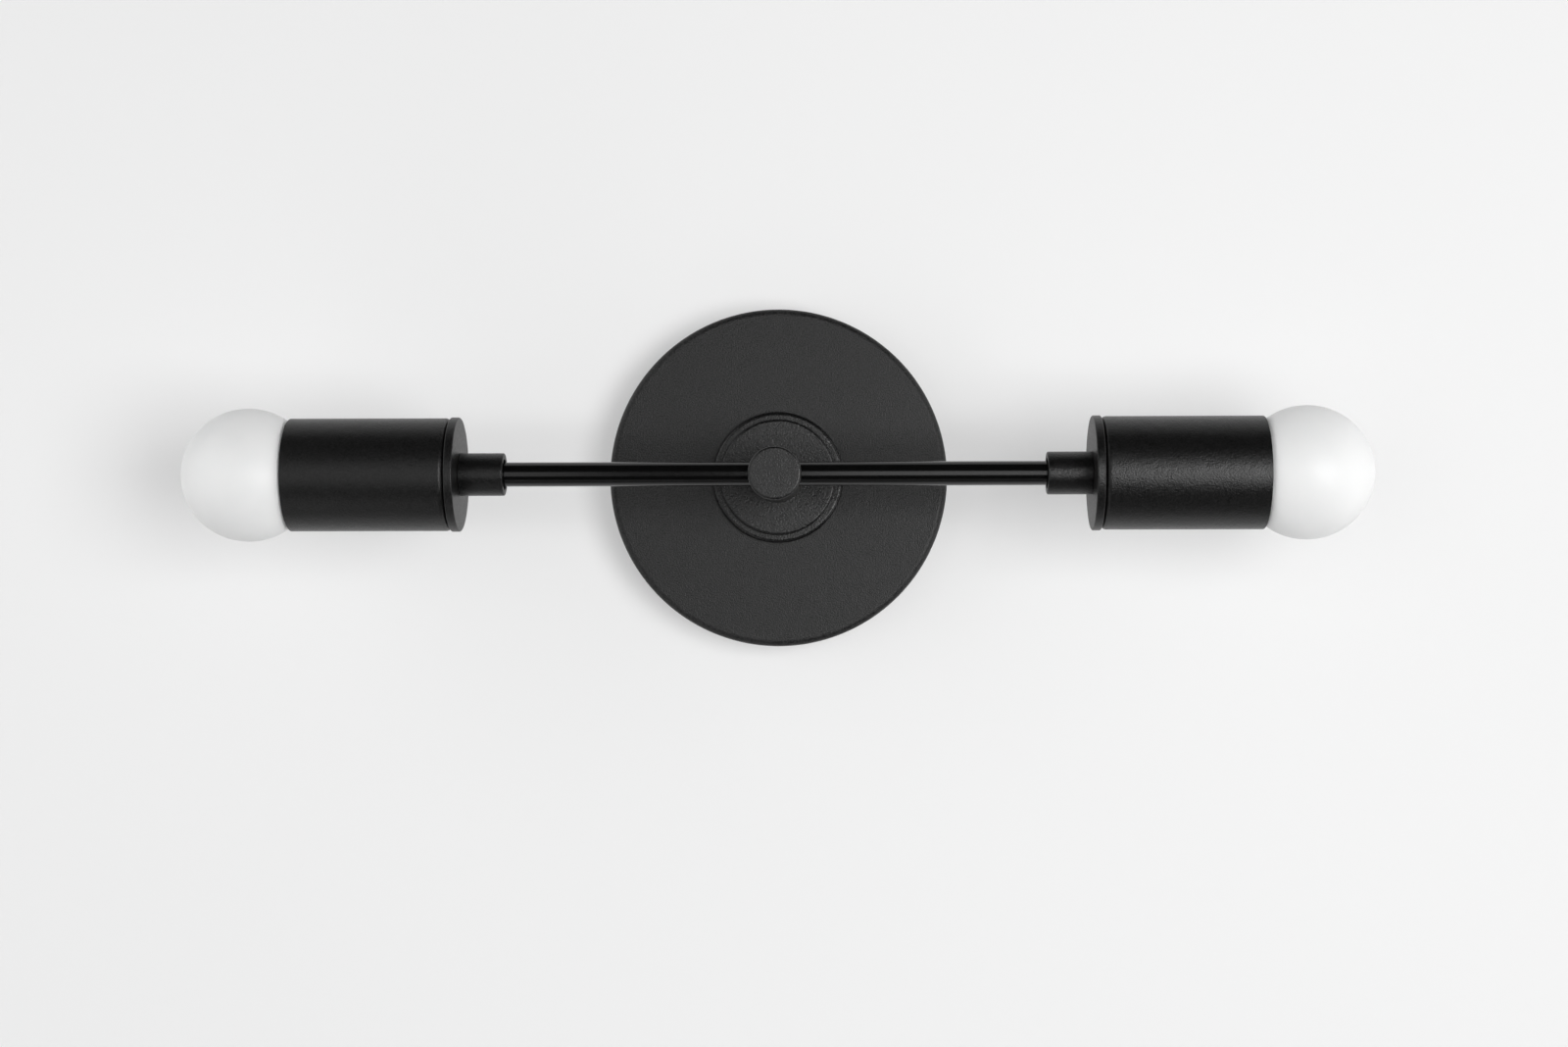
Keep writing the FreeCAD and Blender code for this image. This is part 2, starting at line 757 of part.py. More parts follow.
def bulb_base():
    collar_radius = thread_major_diameter / 2 - base_collar_inset
    collar_start = base_top - base_collar
    first = base_start + base_foot
    last = collar_start - thread_fade

    def share(x):
        return faded_thread(x, first, last)

    def outside(x):
        foot = base_foot_inset * eased(-x, -first, base_foot)
        lift = (collar_radius - base_minor) * eased(x, last, thread_fade)
        return base_minor - foot + lift + thread_swing * share(x)

    def inside(x):
        return outside(x) - base_wall

    return sewn_solid([thread_face(outside, share, base_start, base_top),
                       thread_face(inside, share, base_start, base_top),
                       ring_face(base_start, outside(base_start), inside(base_start)),
                       ring_face(base_top, outside(base_top), inside(base_top))])


def globe_edges(wall):
    """Neck, fillet and sphere at a depth of wall inside the glass's outside, tip last."""
    radius = globe_radius - wall
    neck = neck_radius - wall
    fillet = neck_fillet + wall
    fillet_radius = neck + fillet
    back = math.sqrt((radius + fillet) ** 2 - fillet_radius ** 2)
    fillet_x = globe_centre - back
    slope = math.atan2(fillet_radius, back)
    start = Vector(base_top - neck_in_base, neck, 0)
    bend = Vector(fillet_x, neck, 0)
    half = (math.pi / 2 + slope) / 2
    fillet_mid = Vector(fillet_x + fillet * math.cos(half), fillet_radius - fillet * math.sin(half), 0)
    touch = Vector(globe_centre - radius * math.cos(slope), radius * math.sin(slope), 0)
    top = (slope + math.pi) / 2
    sphere_mid = Vector(globe_centre - radius * math.cos(top), radius * math.sin(top), 0)
    tip = Vector(globe_centre + radius, 0, 0)
    return [Part.LineSegment(start, bend).toShape(), Part.Arc(bend, fillet_mid, touch).toShape(),
            Part.Arc(touch, sphere_mid, tip).toShape()], start, tip


def bulb_globe():
    outer, outer_start, outer_tip = globe_edges(0)
    inner, inner_start, inner_tip = globe_edges(glass_wall)
    closing = [Part.LineSegment(outer_tip, inner_tip).toShape(),
               Part.LineSegment(inner_start, outer_start).toShape()]
    edges = Part.__sortEdges__(outer + inner + closing)
    return turned_wire(Part.Wire(edges))


def bulb_stem():
    """Flared glass foot sealed in the neck, narrowing to the pinch that holds the lead-ins."""
    start = base_top - neck_in_base
    rim = neck_radius - glass_wall - fit_gap
    tube = stem_diameter / 2
    shoulder = start + stem_flare_height
    end = start + stem_length
    return turned([(start, rim - stem_wall), (start, rim), (start + stem_wall, rim),
                   (shoulder, tube), (end, tube, stem_wall), (end, 0),
                   (shoulder, 0)])


def bulb_filament():
    """Two lead-in wires from the stem to the ends of a bowed filament."""
    start = base_top - neck_in_base + stem_length + leadin_diameter / 2
    low = leadin_spacing / 2
    high = leadin_spread / 2
    rise = globe_centre
    pieces = []
    for side in (-1, 1):
        foot = Vector(start, 0, side * low)
        tip = Vector(rise, 0, side * high)
        run = tip - foot
        pieces.append(Part.makeCylinder(leadin_diameter / 2, run.Length, foot, run))
    ends = [Vector(rise + filament_diameter, 0, side * high) for side in (-1, 1)]
    bow = Part.Arc(ends[0], Vector(rise + filament_diameter + filament_bow, 0, 0), ends[1])
    pieces.append(swept_wire([bow.toShape()], filament_diameter / 2))
    return Part.makeCompound(pieces)


def save(shape, node):
    solids = shape.Solids
    sound = shape.isValid() and all(s.isClosed() and s.Volume > 0 for s in solids)
    print("%-28s %2d solids %10.1f mm3 %s" % (node, len(solids), shape.Volume,
                                              "sound" if sound else "NOT SOUND"))
    kept = solids[0] if len(solids) == 1 else Part.makeCompound(solids)
    kept.exportStep("parts/" + node + ".step")


os.makedirs("parts", exist_ok=True)

save(crossbar(), "crossbar")
save(ground_screw(), "ground_screw")
save(ring_terminal(), "ground_ring_terminal")
save(ground_wire(), "ground_wire")
save(main_nipple(), "main_nipple")
save(out_from_wall(hexagon_nut(terminal_face)), "main_lock_nut")
save(backplate(), "backplate")
save(stepped_ring(upper_ring_diameter / 2 + ring_step, plate_face, lower_ring_face), "lower_ring")
save(stepped_ring(upper_ring_diameter / 2, lower_ring_face, upper_ring_face), "upper_ring")
save(centre_post(), "centre_post")

arm_pieces = {
    "arm": arm(),
    "coupler": coupler(),
    "cup_disc": cup_disc(),
    "socket_cup": socket_cup(),
    "cup_nipple": cup_nipple(),
    "cup_lock_washer": toothed_washer(cup_floor),
    "cup_lock_nut": hexagon_nut(nut_back),
    "holder_bracket": holder_bracket(),
    "bracket_screws": bracket_screws(),
    "lampholder_body": lampholder_body(),
    "screw_shell": screw_shell(),
    "contact_spring": contact_spring(),
    "holder_rivets": holder_rivets(),
    "bulb_contact": bulb_contact(),
    "bulb_insulator": bulb_insulator(),
    "bulb_base": bulb_base(),
    "bulb_globe": bulb_globe(),
    "bulb_stem": bulb_stem(),
    "bulb_filament": bulb_filament(),
}
for side_name, side in (("left", -1), ("right", 1)):
    for piece, shape in arm_pieces.items():
        save(on_arm(shape, side), side_name + "_" + piece)
    save(hot_wire(side), side_name + "_hot_wire")
    save(neutral_wire(side), side_name + "_neutral_wire")
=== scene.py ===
import json
import math

import bpy
import numpy as np
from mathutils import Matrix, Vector


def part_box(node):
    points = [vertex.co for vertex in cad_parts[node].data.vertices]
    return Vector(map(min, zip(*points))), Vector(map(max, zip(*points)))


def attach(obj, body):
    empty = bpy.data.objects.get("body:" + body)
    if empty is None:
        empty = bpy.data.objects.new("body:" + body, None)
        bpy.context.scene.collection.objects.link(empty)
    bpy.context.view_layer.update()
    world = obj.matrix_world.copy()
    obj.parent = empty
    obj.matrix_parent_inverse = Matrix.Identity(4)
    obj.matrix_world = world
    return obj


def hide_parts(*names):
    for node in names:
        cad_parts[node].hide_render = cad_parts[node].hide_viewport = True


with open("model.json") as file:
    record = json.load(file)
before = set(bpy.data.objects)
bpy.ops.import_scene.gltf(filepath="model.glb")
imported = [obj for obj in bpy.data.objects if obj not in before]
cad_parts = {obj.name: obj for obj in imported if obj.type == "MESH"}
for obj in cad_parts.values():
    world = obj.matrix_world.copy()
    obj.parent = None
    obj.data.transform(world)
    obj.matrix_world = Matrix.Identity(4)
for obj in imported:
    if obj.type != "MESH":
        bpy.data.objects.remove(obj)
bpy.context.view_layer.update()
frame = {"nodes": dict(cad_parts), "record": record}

# Two-light vanity fixture: matte black pan, post, arms and cups with frosted globes
# Metres, +Z up. The wall is the plane y = 0, the light stands out along -Y, its bar runs along X

mm = 0.001
degree = math.pi / 180
print("frame loaded,", len(frame["nodes"]), "CAD nodes")


# Places read from the frame

def frameEnds(nodeName, axisIndex, facing=1):
    # nearest and furthest of a node along one axis, counted in the facing direction
    low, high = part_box(nodeName)
    return sorted((low[axisIndex] * facing, high[axisIndex] * facing))


def halfSize(nodeName):
    # half the height, which is the radius of every round piece here
    low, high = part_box(nodeName)
    return (high[2] - low[2]) / 2


def outOfWall(nodeName):
    return frameEnds(nodeName, 1, -1)


def alongBar(nodeName):
    return frameEnds(nodeName, 0)


barOut = sum(outOfWall("right_arm")) / 2
sideSigns = {"left": -1, "right": 1}
up = np.array([0.0, 0.0, 1.0])

# An axis is its origin, its direction and the first of its two spokes; the second spoke is up
wallAxis = (np.zeros(3), np.array([0.0, -1.0, 0.0]), np.array([1.0, 0.0, 0.0]))


def barAxis(side):
    return np.array([0.0, -barOut, 0.0]), np.array([side, 0.0, 0.0]), np.array([0.0, side, 0.0])


# Shapes

def outlineRows(corners, arcSteps=8):
    # Rows of along, radius and the normal's two parts, through (along, radius, rounding) corners.
    # The solid lies on the right of the way round. A rounded corner is an arc that touches both
    # runs, its normal turning evenly from one run's to the next; a sharp corner has two rows
    spots = np.array([corner[:2] for corner in corners], float)
    runs = np.diff(spots, axis=0)
    runs /= np.linalg.norm(runs, axis=1)[:, None]
    facing = np.arctan2(runs[:, 0], -runs[:, 1])
    rows = [[*spots[0], math.cos(facing[0]), math.sin(facing[0])]]
    for i in range(1, len(corners) - 1):
        rounding = corners[i][2] if len(corners[i]) == 3 else 0
        turn = (facing[i] - facing[i - 1] + math.pi) % (2 * math.pi) - math.pi
        bend = math.copysign(rounding, turn)
        angles = facing[i - 1] + turn * np.linspace(0, 1, arcSteps + 1 if rounding else 2)
        normals = np.stack([np.cos(angles), np.sin(angles)], 1)
        start = spots[i] - runs[i - 1] * rounding * abs(math.tan(turn / 2))
        rows.extend(np.hstack([start + bend * (normals[:1] - normals), normals]))
    rows.append([*spots[-1], math.cos(facing[-1]), math.sin(facing[-1])])
    return np.array(rows)


def aroundAxis(along, radius, axis, columns):
    # point(row, t) = origin + along * direction + radius * (cos t * spoke + sin t * up)
    origin, direction, spoke = axis
    t = np.linspace(0, 2 * math.pi, columns, endpoint=False)
    spokes = np.cos(t)[:, None] * spoke + np.sin(t)[:, None] * up
    return origin + along[..., None] * direction + radius[..., None] * spokes


weldStep = 1e-7                 # points nearer than this are one
sharpAngle = 35 * degree        # edges that turn more than this stay sharp


def gridPiece(name, points, normals=None, wrapRows=False, seamRows=None):
    # Closed mesh over points (row, column, 3). The last column meets the first, at the row that
    # seamRows gives. Points that coincide become one, so poles and seams close, and the faces are
    # turned outwards by the sign of the volume that they enclose
    rowCount, columnCount = points.shape[:2]
    index = np.arange(rowCount * columnCount).reshape(rowCount, columnCount)
    ahead = np.roll(index, -1, axis=1)
    if seamRows is not None:
        ahead[:, -1] = index[seamRows, 0]
    if wrapRows:
        index = np.concatenate([index, index[:1]])
        ahead = np.concatenate([ahead, ahead[:1]])
    quads = np.stack([index[:-1], index[1:], ahead[1:], ahead[:-1]], -1).reshape(-1, 4)
    flat = points.reshape(-1, 3)
    cells = np.round(flat / weldStep).astype(np.int64)
    first, welded = np.unique(cells, axis=0, return_index=True, return_inverse=True)[1:]
    welded = welded.reshape(-1)
    corners = welded[quads]
    doubled = corners == np.roll(corners, -1, axis=1)
    whole = quads[doubled.sum(1) == 0]
    pinched = doubled.sum(1) == 1
    triangles = quads[pinched][~doubled[pinched]].reshape(-1, 3)
    fans = np.concatenate([whole[:, :3], whole[:, [0, 2, 3]], triangles])
    a, b, c = flat[fans[:, 0]], flat[fans[:, 1]], flat[fans[:, 2]]
    if np.einsum("ij,ij->", a, np.cross(b, c)) < 0:
        whole, triangles = whole[:, ::-1], triangles[:, ::-1]
    loops = np.concatenate([whole.ravel(), triangles.ravel()])
    sizes = np.repeat([4, 3], [len(whole), len(triangles)])
    mesh = bpy.data.meshes.new(name)
    mesh.vertices.add(len(first))
    mesh.vertices.foreach_set("co", flat[first].ravel())
    mesh.loops.add(len(loops))
    mesh.loops.foreach_set("vertex_index", welded[loops])
    mesh.polygons.add(len(sizes))
    mesh.polygons.foreach_set("loop_start", np.cumsum(sizes) - sizes)
    mesh.polygons.foreach_set("loop_total", sizes)
    mesh.polygons.foreach_set("use_smooth", np.ones(len(sizes), bool))
    mesh.update(calc_edges=True)
    if normals is None:
        mesh.set_sharp_from_angle(angle=sharpAngle)
    else:
        mesh.normals_split_custom_set(normals.reshape(-1, 3)[loops])
    piece = bpy.data.objects.new(name, mesh)
    bpy.context.scene.collection.objects.link(piece)
    return piece


def turnedPiece(name, rows, axis, columns):
    # the outline's rows carried round the axis, with the outline's own normals
    points = aroundAxis(rows[:, :1], rows[:, 1:2], axis, columns)
    normals = aroundAxis(rows[:, 2:3], rows[:, 3:], axis, columns) - axis[0]
    return gridPiece(name, points, normals)


def sweptPiece(name, path, radius, reference, columns):
    # Round wire: point(row, t) = path + radius * (cos t * across + sin t * over), where across is
    # square to the path and the reference, and over is square to both. The ends close to a point
    path = np.concatenate([path[:1], path, path[-1:]])
    radii = np.full(len(path), radius)
    radii[[0, -1]] = 0
    tangent = np.gradient(path, axis=0)
    tangent[0], tangent[-1] = tangent[1], tangent[-2]
    across = np.cross(tangent, reference)
    across /= np.linalg.norm(across, axis=1)[:, None]
    over = np.cross(across, tangent)
    over /= np.linalg.norm(over, axis=1)[:, None]
    t = np.linspace(0, 2 * math.pi, columns, endpoint=False)[:, None]
    ring = np.cos(t) * across[:, None] + np.sin(t) * over[:, None]
    return gridPiece(name, path[:, None] + radii[:, None, None] * ring)


def eased(value, start, length):
    # share that rises smoothly from 0 at start to 1 at start + length
    return (1 - np.cos(math.pi * np.clip((value - start) / length, 0, 1))) / 2


# Finishes

noiseLow, noiseHigh = 0.3, 0.7        # the middle part of a noise, where most of it lies


def newMaterial(name):
    material = bpy.data.materials.new(name)
    material.use_nodes = True
    nodes, links = material.node_tree.nodes, material.node_tree.links
    return material, nodes, links, nodes["Principled BSDF"]


def addNoise(nodes, links, grainSize, detail=2.0):
    # noise on Object coordinates, so that its grain has a real size
    coords = nodes.new("ShaderNodeTexCoord")
    noise = nodes.new("ShaderNodeTexNoise")
    noise.inputs["Scale"].default_value = 1 / grainSize
    noise.inputs["Detail"].default_value = detail
    links.new(coords.outputs["Object"], noise.inputs["Vector"])
    return noise.outputs["Fac"]


def addRange(nodes, links, source, low, high):
    # number that runs from low to high over the noise's middle part
    spread = nodes.new("ShaderNodeMapRange")
    spread.inputs["From Min"].default_value = noiseLow
    spread.inputs["From Max"].default_value = noiseHigh
    spread.inputs["To Min"].default_value = low
    spread.inputs["To Max"].default_value = high
    links.new(source, spread.inputs["Value"])
    return spread.outputs["Result"]


def addTint(nodes, links, source, low, high):
    # colour that runs from low to high over the noise's middle part
    ramp = nodes.new("ShaderNodeValToRGB")
    ramp.color_ramp.elements[0].position = noiseLow
    ramp.color_ramp.elements[1].position = noiseHigh
    ramp.color_ramp.elements[0].color = (*low, 1)
    ramp.color_ramp.elements[1].color = (*high, 1)
    links.new(source, ramp.inputs["Fac"])
    return ramp.outputs["Color"]


def addBump(nodes, links, shader, source, depth, under=None):
    bump = nodes.new("ShaderNodeBump")
    bump.inputs["Distance"].default_value = depth
    links.new(source, bump.inputs["Height"])
    if under is not None:
        links.new(under, bump.inputs["Normal"])
    links.new(bump.outputs["Normal"], shader.inputs["Normal"])
    return bump.outputs["Normal"]


# Baked black powder: textured on the pan, on the steps with the post and on the cups, each with
# its own gloss, and satin on the arms. Shine is the specular level
coats = {
    "pan": {"dark": 0.001, "light": 0.020, "shine": 0.33, "smooth": 0.38, "rough": 0.52,
            "grain": 0.6 * mm, "grainDepth": 0.2 * mm, "peel": 2.6 * mm, "peelDepth": 0.06 * mm},
    "step": {"dark": 0.0, "light": 0.006, "shine": 0.40, "smooth": 0.25, "rough": 0.36,
             "grain": 0.6 * mm, "grainDepth": 0.13 * mm, "peel": 2.6 * mm, "peelDepth": 0.04 * mm},
    "cup": {"dark": 0.0, "light": 0.006, "shine": 0.34, "smooth": 0.33, "rough": 0.42,
            "grain": 0.6 * mm, "grainDepth": 0.12 * mm, "peel": 4 * mm, "peelDepth": 0.09 * mm},
    "arm": {"dark": 0.001, "light": 0.003, "shine": 0.4, "smooth": 0.14, "rough": 0.18,
            "grain": 0.5 * mm, "grainDepth": 0.0006 * mm, "peel": 5 * mm,
            "peelDepth": 0.001 * mm},
}


def powderCoat(coatName):
    # fine grain over a slow orange peel, both in the bump; the grain also varies gloss and colour
    coat = coats[coatName]
    material, nodes, links, shader = newMaterial(coatName + "Coat")
    grain = addNoise(nodes, links, coat["grain"], detail=1)
    peel = addNoise(nodes, links, coat["peel"], detail=1)
    dark, light = [(coat[key],) * 3 for key in ("dark", "light")]
    links.new(addTint(nodes, links, grain, dark, light), shader.inputs["Base Color"])
    links.new(addRange(nodes, links, grain, coat["smooth"], coat["rough"]),
              shader.inputs["Roughness"])
    shader.inputs["Specular IOR Level"].default_value = coat["shine"]
    under = addBump(nodes, links, shader, peel, coat["peelDepth"])
    addBump(nodes, links, shader, grain, coat["grainDepth"], under)
    return material


metals = {
    "zinc_plate": {"low": (0.58, 0.60, 0.64), "high": (0.73, 0.74, 0.75), "gloss": (0.26, 0.42)},
    "brass": {"low": (0.66, 0.47, 0.20), "high": (0.79, 0.59, 0.29), "gloss": (0.20, 0.34)},
    "shell_brass": {"low": (0.73, 0.56, 0.28), "high": (0.84, 0.67, 0.37), "gloss": (0.16, 0.3)},
    "green_screw": {"low": (0.02, 0.19, 0.06), "high": (0.05, 0.31, 0.11), "gloss": (0.3, 0.42)},
    "base_aluminium": {"low": (0.80, 0.80, 0.81), "high": (0.89, 0.89, 0.89), "gloss": (0.18, 0.3)},
    "solder": {"low": (0.58, 0.58, 0.60), "high": (0.76, 0.76, 0.76), "gloss": (0.28, 0.46)},
    "tungsten": {"low": (0.30, 0.30, 0.32), "high": (0.43, 0.43, 0.44), "gloss": (0.35, 0.5)},
}
metalGrain = {"cloud": 6 * mm, "cloudDetail": 3, "tooth": 0.35 * mm, "toothDetail": 4,
              "toothDepth": 0.006 * mm}


def bareMetal(slotName):
    # plated or bare metal: cloudy colour, uneven gloss and a little tooth
    metal = metals[slotName]
    material, nodes, links, shader = newMaterial(slotName)
    cloud = addNoise(nodes, links, metalGrain["cloud"], metalGrain["cloudDetail"])
    tooth = addNoise(nodes, links, metalGrain["tooth"], metalGrain["toothDetail"])
    links.new(addTint(nodes, links, cloud, metal["low"], metal["high"]),
              shader.inputs["Base Color"])
    links.new(addRange(nodes, links, tooth, *metal["gloss"]), shader.inputs["Roughness"])
    shader.inputs["Metallic"].default_value = 1.0
    addBump(nodes, links, shader, tooth, metalGrain["toothDepth"])
    return material


plains = {
    "green_insulation": {"low": (0.02, 0.19, 0.05), "high": (0.03, 0.25, 0.07),
                         "gloss": (0.3, 0.42), "cloud": 1.4 * mm, "depth": 0.01 * mm},
    "black_insulation": {"low": (0.01, 0.01, 0.011), "high": (0.02, 0.02, 0.021),
                         "gloss": (0.3, 0.42), "cloud": 1.4 * mm, "depth": 0.01 * mm},
    "white_insulation": {"low": (0.72, 0.71, 0.67), "high": (0.80, 0.79, 0.76),
                         "gloss": (0.3, 0.42), "cloud": 1.4 * mm, "depth": 0.01 * mm},
    "black_glass": {"low": (0.008, 0.008, 0.010), "high": (0.02, 0.02, 0.022),
                    "gloss": (0.06, 0.16), "cloud": 1.8 * mm, "depth": 0.03 * mm},
    "ceramic": {"low": (0.83, 0.82, 0.78), "high": (0.88, 0.87, 0.84),
                "gloss": (0.1, 0.2), "cloud": 4 * mm, "depth": 0.03 * mm},
}


def mouldedFinish(slotName):
    # insulation, moulded glass or glazed porcelain: faint mottling and a slightly wavy gloss
    plain = plains[slotName]
    material, nodes, links, shader = newMaterial(slotName)
    cloud = addNoise(nodes, links, plain["cloud"])
    links.new(addTint(nodes, links, cloud, plain["low"], plain["high"]),
              shader.inputs["Base Color"])
    links.new(addRange(nodes, links, cloud, *plain["gloss"]), shader.inputs["Roughness"])
    addBump(nodes, links, shader, cloud, plain["depth"])
    return material


frosting = {"low": (0.85, 0.855, 0.855), "high": (0.87, 0.872, 0.87), "cloud": 16 * mm,
            "grain": 0.3 * mm, "grainDepth": 0.004 * mm, "gloss": (0.4, 0.5), "glow": 1.0,
            "glowDepth": 0.7 * mm}


def frostedGlass():
    # white frosted bulb: even milk glass, which light sinks into, with a silky surface
    material, nodes, links, shader = newMaterial("frosted_glass")
    cloud = addNoise(nodes, links, frosting["cloud"])
    grain = addNoise(nodes, links, frosting["grain"])
    links.new(addTint(nodes, links, cloud, frosting["low"], frosting["high"]),
              shader.inputs["Base Color"])
    links.new(addRange(nodes, links, grain, *frosting["gloss"]), shader.inputs["Roughness"])
    shader.inputs["Subsurface Weight"].default_value = frosting["glow"]
    shader.inputs["Subsurface Radius"].default_value = (1, 1, 1)
    shader.inputs["Subsurface Scale"].default_value = frosting["glowDepth"]
    addBump(nodes, links, shader, grain, frosting["grainDepth"])
    return material


stemGlass = {"low": (0.90, 0.95, 0.93), "high": (0.97, 0.98, 0.97), "gloss": (0.02, 0.08),
             "wave": 3 * mm, "waveDepth": 0.02 * mm}


def clearGlass():
    # the bulb's inner stem: drawn glass with faint waves
    material, nodes, links, shader = newMaterial("clear_glass")
    waves = addNoise(nodes, links, stemGlass["wave"], detail=1)
    links.new(addTint(nodes, links, waves, stemGlass["low"], stemGlass["high"]),
              shader.inputs["Base Color"])
    links.new(addRange(nodes, links, waves, *stemGlass["gloss"]), shader.inputs["Roughness"])
    shader.inputs["Transmission Weight"].default_value = 1.0
    addBump(nodes, links, shader, waves, stemGlass["waveDepth"])
    return material


finishes = {"powder_coat": powderCoat("pan"), "frosted_glass": frostedGlass(),
            "clear_glass": clearGlass()}
finishes.update({slotName: bareMetal(slotName) for slotName in metals})
finishes.update({slotName: mouldedFinish(slotName) for slotName in plains})
stepCoat, cupCoat, armCoat = powderCoat("step"), powderCoat("cup"), powderCoat("arm")
slotOf = {part["node"]: part["material_slot"] for part in frame["record"]["subparts"]}
for nodeName, nodeObject in frame["nodes"].items():
    nodeObject.data.materials.clear()
    nodeObject.data.materials.append(finishes[slotOf[nodeName]])
print("finishes made:", len(finishes), "by slot, and the coats of the steps, cups and arms")


def standFor(piece, nodeName, material=None):
    # the piece takes the CAD node's place, body and finish
    body = next(name for name, nodes in frame["record"]["behaviour"]["bodies"].items()
                if nodeName in nodes)
    slotName = slotOf[nodeName]
    piece.data.materials.append(material or finishes[slotName])
    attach(piece, body)
    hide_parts(nodeName)


# Backplate: a spun pan, its edge rolled over and its rim against the wall

pan = {"wall": 1.2 * mm, "edge": 2.8 * mm, "rim": 0.35 * mm, "hole": 5.35 * mm, "arcSteps": 10,
       "columns": 288}


def makePan():
    # the outline of a shallow dish carried round the wall's normal: out along the inside, down to
    # the rim on the wall, up the outside and round the rolled edge to the flat face and its hole
    radius = halfSize("backplate")
    face = outOfWall("backplate")[1]
    inside = face - pan["wall"]
    innerRadius = radius - pan["wall"]
    rows = outlineRows([
        (inside, pan["hole"]), (inside, innerRadius, pan["edge"] - pan["wall"]),
        (0, innerRadius, pan["rim"]), (0, radius, pan["rim"]), (face, radius, pan["edge"]),
        (face, pan["hole"]), (inside, pan["hole"])], pan["arcSteps"])
    standFor(turnedPiece("pan", rows, wallAxis, pan["columns"]), "backplate")


makePan()

# Two stepped rings between the pan and the post

steps = {"lowerEdge": 1.6 * mm, "upperEdge": 1.1 * mm, "foot": 0.12 * mm, "hole": 5.35 * mm,
         "columns": 192}


def makeStep(nodeName, pieceName, edge):
    # a ring's outline, rounded at the foot and the front edge, carried round the wall's normal
    radius = halfSize(nodeName)
    back, face = outOfWall(nodeName)
    rows = outlineRows([
        (back, steps["hole"]), (back, radius, steps["foot"]), (face, radius, edge),
        (face, steps["hole"]), (back, steps["hole"])])
    standFor(turnedPiece(pieceName, rows, wallAxis, steps["columns"]), nodeName, stepCoat)


makeStep("lower_ring", "wideStep", steps["lowerEdge"])
makeStep("upper_ring", "narrowStep", steps["upperEdge"])

# Post: a turned bar with a blind bore for the lamp pipe, drilled through its sides for the arms

post = {"bore": 5.15 * mm, "frontWall": 4.8 * mm, "edge": 1.1 * mm, "foot": 0.2 * mm,
        "armHole": 4.81 * mm, "drillLength": 24 * mm, "columns": 160}


def makePost():
    # the outline of a bar with a blind bore carried round the wall's normal, less a round drill
    # whose own outline is carried round the arms' axis
    back, face = outOfWall("centre_post")
    radius = halfSize("centre_post")
    rows = outlineRows([
        (face - post["frontWall"], 0), (face - post["frontWall"], post["bore"]),
        (back, post["bore"]), (back, radius, post["foot"]), (face, radius, post["edge"]),
        (face, 0)])
    body = turnedPiece("post", rows, wallAxis, post["columns"])
    reach = post["drillLength"] / 2
    drillRows = outlineRows([(-reach, 0), (-reach, post["armHole"]), (reach, post["armHole"]),
                             (reach, 0)])
    drill = turnedPiece("postDrill", drillRows, barAxis(1), post["columns"])
    cut = body.modifiers.new("armHoles", "BOOLEAN")
    cut.operation = "DIFFERENCE"
    cut.solver = "EXACT"
    cut.object = drill
    bpy.context.view_layer.update()
    drilled = bpy.data.meshes.new_from_object(body.evaluated_get(
        bpy.context.evaluated_depsgraph_get()))
    body.modifiers.clear()
    body.data = drilled
    bpy.data.objects.remove(drill)
    standFor(body, "centre_post", stepCoat)


makePost()
print("pan, steps and post made")

# Arms, their couplers, and the disc and cup at each end

tube = {"wall": 1.2 * mm, "edge": 0.2 * mm, "columns": 112}
collar = {"edge": 0.6 * mm, "mouth": 6.1 * mm, "mouthDepth": 1.8 * mm, "lip": 0.25 * mm,
          "armHole": 4.81 * mm, "pipeHole": 5.15 * mm, "columns": 144}
disc = {"edge": 0.6 * mm, "hole": 5.35 * mm, "columns": 176}
cup = {"wall": 1.2 * mm, "corner": 2.2 * mm, "rim": 0.3 * mm, "hole": 5.35 * mm, "arcSteps": 10,
       "columns": 208}


def makeArm(sideName, axis):
    # a tube's outline, rounded at its outer edges, carried round the bar's axis
    start, end = alongBar("right_arm")
    radius = halfSize("right_arm")
    inner = radius - tube["wall"]
    rows = outlineRows([
        (start, inner), (start, radius, tube["edge"]), (end, radius, tube["edge"]), (end, inner),
        (start, inner)])
    standFor(turnedPiece(sideName + "Tube", rows, axis, tube["columns"]), sideName + "_arm",
             armCoat)


def makeCollar(sideName, axis):
    # carried round the bar's axis: a mouth wider than the arm, the rounded outside, and the pipe's
    # bore, which narrows to the arm's where the arm ends
    start, end = alongBar("right_coupler")
    radius = halfSize("right_coupler")
    floor = start + collar["mouthDepth"]
    middle = alongBar("right_arm")[1]
    rows = outlineRows([
        (floor, collar["armHole"]), (floor, collar["mouth"], collar["lip"]),
        (start, collar["mouth"], collar["lip"]), (start, radius, collar["edge"]),
        (end, radius, collar["lip"]), (end, collar["pipeHole"]), (middle, collar["pipeHole"]),
        (middle, collar["armHole"]), (floor, collar["armHole"])])
    standFor(turnedPiece(sideName + "Collar", rows, axis, collar["columns"]),
             sideName + "_coupler", cupCoat)


def makeDisc(sideName, axis):
    # a ring's outline, rounded at both outer edges, carried round the bar's axis
    back, face = alongBar("right_cup_disc")
    radius = halfSize("right_cup_disc")
    rows = outlineRows([
        (back, disc["hole"]), (back, radius, disc["edge"]), (face, radius, disc["edge"]),
        (face, disc["hole"]), (back, disc["hole"])])
    standFor(turnedPiece(sideName + "Disc", rows, axis, disc["columns"]), sideName + "_cup_disc",
             cupCoat)


